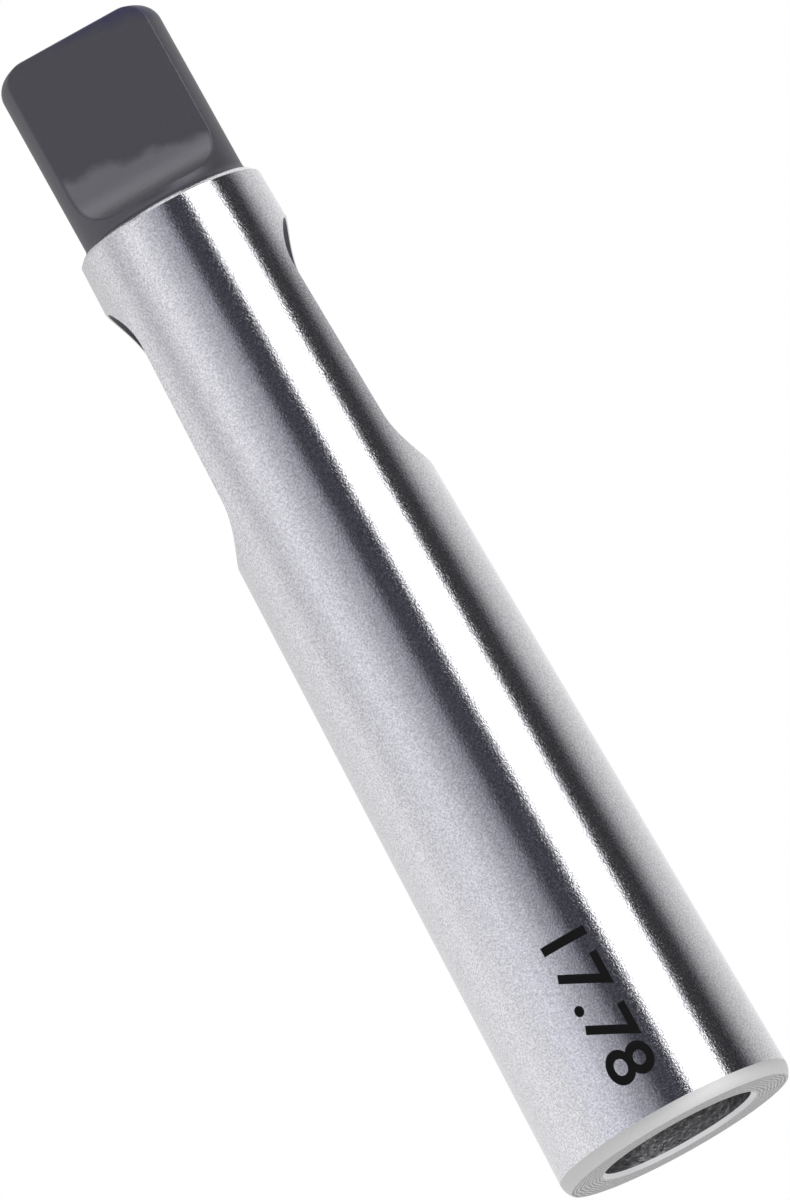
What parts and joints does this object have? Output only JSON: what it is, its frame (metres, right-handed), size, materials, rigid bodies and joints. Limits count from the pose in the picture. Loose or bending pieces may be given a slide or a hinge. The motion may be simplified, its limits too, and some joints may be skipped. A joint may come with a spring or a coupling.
{
  "type": "morse taper sleeve",
  "caption": "Conical reducing sleeve for machine tool shanks, with a ground outer taper, a taper socket in its big end, a drift slot across and a flat dark tang.",
  "frame": {"origin": "centre of the socket face, the flat ring round the mouth of the taper socket, on which the sleeve stands", "axes": "+Z along the sleeve's own axis from the socket face to the tang end; +X along the drift slot, which goes right through; +Y out of one flat of the tang"},
  "size_m": [0.0186, 0.0186, 0.092],
  "materials": {
    "hardened_steel": "ground and polished on the taper, heat-treat dark on the tang, neck and drift slot"
  },
  "bodies": {
    "root": {"taper_sleeve": "hardened_steel"}
  },
  "joints": []
}
